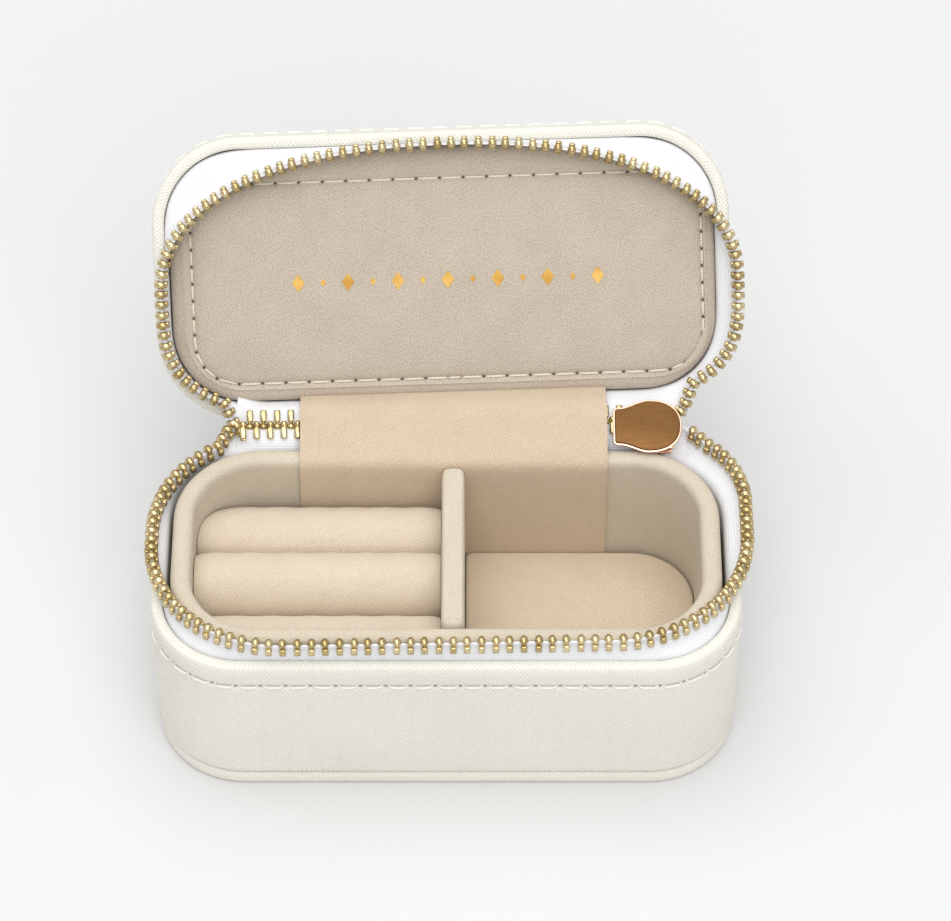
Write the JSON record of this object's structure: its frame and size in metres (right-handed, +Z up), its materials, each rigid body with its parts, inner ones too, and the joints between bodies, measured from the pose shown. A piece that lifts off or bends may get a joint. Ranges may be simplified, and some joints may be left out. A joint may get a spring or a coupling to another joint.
{
  "type": "jewelry box",
  "caption": "Small zip-round travel jewelry box in ivory leatherette, open, with velvet ring rolls, a divided tray and a padded lid panel.",
  "frame": {"origin": "centre of the base's underside, on the surface it stands on", "axes": "+X to the right along the hinge, +Y to the back where the hinge is, +Z up"},
  "size_m": [0.111, 0.1013, 0.0801],
  "materials": {
    "leatherette": "ivory leatherette with a fine cross-hatch grain",
    "card": "stiff board, plain",
    "seam_thread": "ivory sewing thread",
    "zip_tape": "white woven zip tape",
    "zip_metal": "pale gold plated, polished",
    "foam": "soft foam",
    "tray_velvet": "beige micro-suede, matt",
    "roll_velvet": "beige micro-suede, matt",
    "floor_velvet": "beige micro-suede, matt",
    "strap_fabric": "beige micro-suede ribbon, matt",
    "panel_velvet": "grey-beige micro-suede, matt",
    "panel_thread": "pale beige sewing thread",
    "foil": "gold hot-stamped foil",
    "rose_gold": "rose gold plated, polished"
  },
  "bodies": {
    "base": {"base_bottom_cover": "leatherette", "base_bottom_board": "card", "base_wall_cover": "leatherette", "base_wall_core": "card", "base_seam_thread": "seam_thread", "lower_zip_tape": "zip_tape", "lower_zip_teeth": "zip_metal", "tray_support_foam": "foam", "tray_shell": "tray_velvet", "divider_cover": "roll_velvet", "divider_board": "card", "tray_floor_board": "card", "tray_floor_pad": "floor_velvet", "ring_roll_back_cover": "roll_velvet", "ring_roll_back_foam": "foam", "ring_roll_middle_cover": "roll_velvet", "ring_roll_middle_foam": "foam", "ring_roll_front_cover": "roll_velvet", "ring_roll_front_foam": "foam", "inner_hinge_strap": "strap_fabric", "rear_hinge_band": "leatherette"},
    "lid": {"lid_wall_cover": "leatherette", "lid_wall_core": "card", "lid_top_cover": "leatherette", "lid_top_board": "card", "lid_top_foam": "foam", "lid_seam_thread": "seam_thread", "lid_panel_cover": "panel_velvet", "lid_panel_foam": "foam", "lid_panel_board": "card", "lid_panel_seam_thread": "panel_thread", "lid_panel_foil_row": "foil", "upper_zip_tape": "zip_tape", "upper_zip_teeth": "zip_metal"},
    "zip_tail": {"closed_chain_teeth": "zip_metal", "zip_tail_tapes": "zip_tape", "zip_bottom_stop": "zip_metal"},
    "slider": {"slider_body": "rose_gold", "slider_bail": "rose_gold"},
    "pull": {"pull_link": "rose_gold", "pull_tab": "rose_gold"}
  },
  "joints": [
    {"name": "lid_hinge", "type": "hinge", "parent": "base", "child": "lid", "pos_m": [0, 0.0274, 0.0397], "axis": [0.9998, 0.0165, 0.0078], "range_deg": [0, 129.5], "deforming": ["inner_hinge_strap", "rear_hinge_band"]},
    {"name": "zip_tail_fold", "type": "hinge", "parent": "base", "child": "zip_tail", "pos_m": [0, 0.0274, 0.0397], "axis": [0.9998, 0.0165, 0.0078], "range_deg": [0, 64.75]},
    {"name": "slider_travel", "type": "slide", "parent": "zip_tail", "child": "slider", "axis": [0.9998, 0.0024, 0.0194], "range_m": [-0.0014, 0.0014]},
    {"name": "pull_swing", "type": "hinge", "parent": "slider", "child": "pull", "pos_m": [0.03727, 0.02952, 0.03613], "axis": [-0.0104, 0.9044, 0.4266], "range_deg": [-50, 50]}
  ],
  "couplings": [
    {"joint": "zip_tail_fold", "follows": "lid_hinge", "ratio": 0.5}
  ]
}
